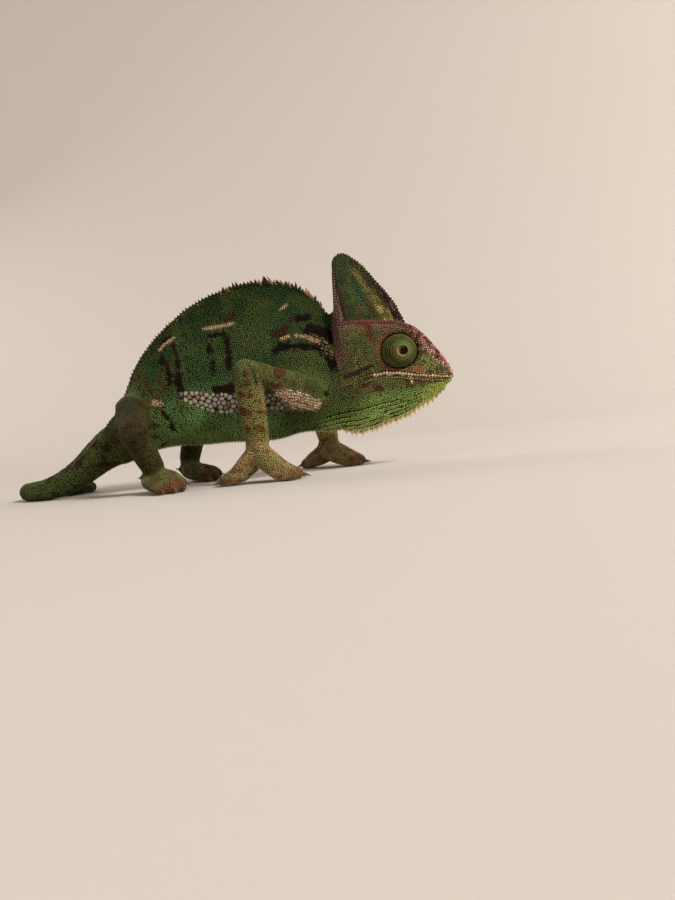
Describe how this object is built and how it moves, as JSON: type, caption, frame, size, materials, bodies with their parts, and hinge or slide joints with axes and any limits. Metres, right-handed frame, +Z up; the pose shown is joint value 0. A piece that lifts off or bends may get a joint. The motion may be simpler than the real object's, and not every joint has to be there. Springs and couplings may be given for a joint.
{
  "type": "veiled chameleon",
  "caption": "Life-size still model of an adult male veiled chameleon standing on a flat surface, head raised to the right, tail curled on the floor.",
  "frame": {"origin": "on the floor, under the middle of the animal's bounding box", "axes": "+X forward along the body, +Y to the animal's left, +Z up"},
  "size_m": [0.2474, 0.0992, 0.1152],
  "materials": {
    "skin": "granular scales, dark to bright green with brown, cream and tan markings",
    "casque": "tubercle scales, green with teal and yellow, purple-brown along the edges",
    "throat": "lengthwise rows of bright green scales with dark furrows",
    "eyelid": "fine granular scales in rings",
    "foot": "beaded scales, tan and greenish",
    "eyeball": "wet gloss, dark pupil in a golden brown ring",
    "claw": "polished horn"
  },
  "bodies": {
    "root": {"casque": "casque", "claw_fore_left_1": "claw", "claw_fore_left_2": "claw", "claw_fore_left_3": "claw", "claw_fore_left_4": "claw", "claw_fore_left_5": "claw", "claw_fore_right_1": "claw", "claw_fore_right_2": "claw", "claw_fore_right_3": "claw", "claw_fore_right_4": "claw", "claw_fore_right_5": "claw", "claw_hind_left_1": "claw", "claw_hind_left_2": "claw", "claw_hind_left_3": "claw", "claw_hind_left_4": "claw", "claw_hind_left_5": "claw", "claw_hind_right_1": "claw", "claw_hind_right_2": "claw", "claw_hind_right_3": "claw", "claw_hind_right_4": "claw", "claw_hind_right_5": "claw", "eye_turret_left": "eyelid", "eye_turret_right": "eyelid", "eyeball_left": "eyeball", "eyeball_right": "eyeball", "fore_foot_left": "foot", "fore_foot_right": "foot", "forearm_left": "skin", "forearm_right": "skin", "head": "skin", "hind_foot_left": "foot", "hind_foot_right": "foot", "lower_jaw": "throat", "neck": "skin", "shank_left": "skin", "shank_right": "skin", "tail_1": "skin", "tail_2": "skin", "tail_3": "skin", "tail_4": "skin", "thigh_left": "skin", "thigh_right": "skin", "trunk": "skin", "upper_arm_left": "skin", "upper_arm_right": "skin"}
  },
  "joints": []
}
